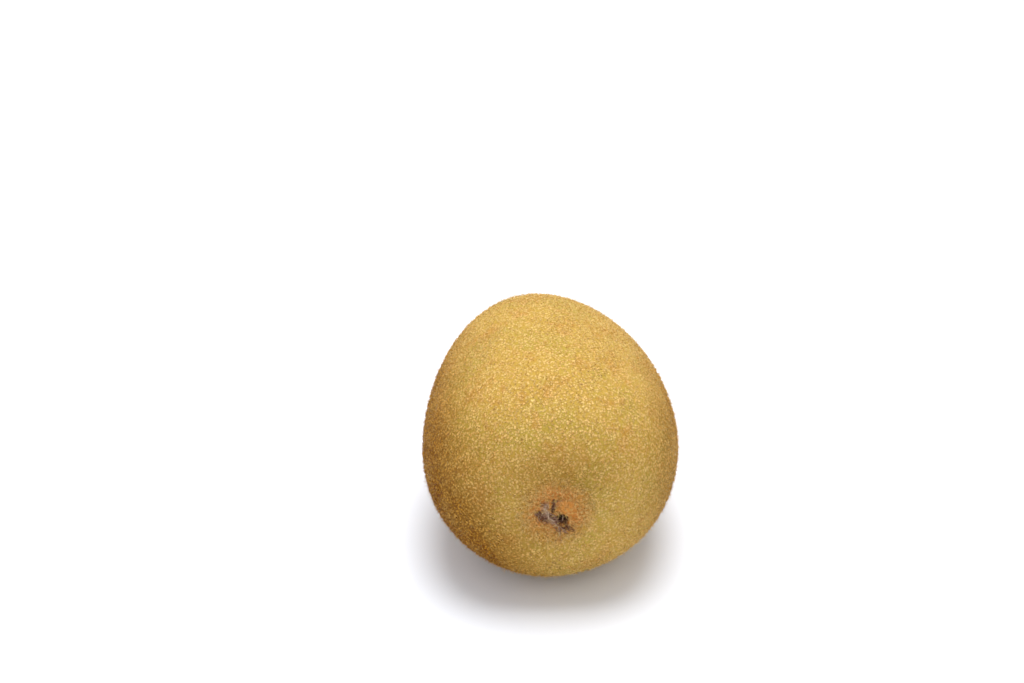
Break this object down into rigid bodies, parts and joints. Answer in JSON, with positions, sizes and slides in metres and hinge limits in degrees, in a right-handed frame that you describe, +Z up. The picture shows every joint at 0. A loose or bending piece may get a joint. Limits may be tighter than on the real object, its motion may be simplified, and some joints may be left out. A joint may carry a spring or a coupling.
{
  "type": "golden kiwi fruit",
  "caption": "Whole golden kiwi fruit lying on its side: a blunt, slightly tapered oval with a pit of dried styles at one end and a round stalk scar at the other.",
  "frame": {"origin": "on the resting plane, under the middle of the fruit's bounding box", "axes": "+Z up, Y along the fruit's long axis with the stem end at +Y and the blossom end at -Y, +X across"},
  "size_m": [0.0556, 0.0692, 0.0507],
  "materials": {
    "skin": "matte olive-gold to russet skin under a dense coat of short pale tan hairs",
    "dried_styles": "matte dark purple-brown dry fibres with paler grey tips",
    "dried_sepals": "matte brown papery dry flaps with ragged edges"
  },
  "bodies": {
    "root": {"fruit": "skin", "dried_styles": "dried_styles", "dried_sepals": "dried_sepals"}
  },
  "joints": []
}
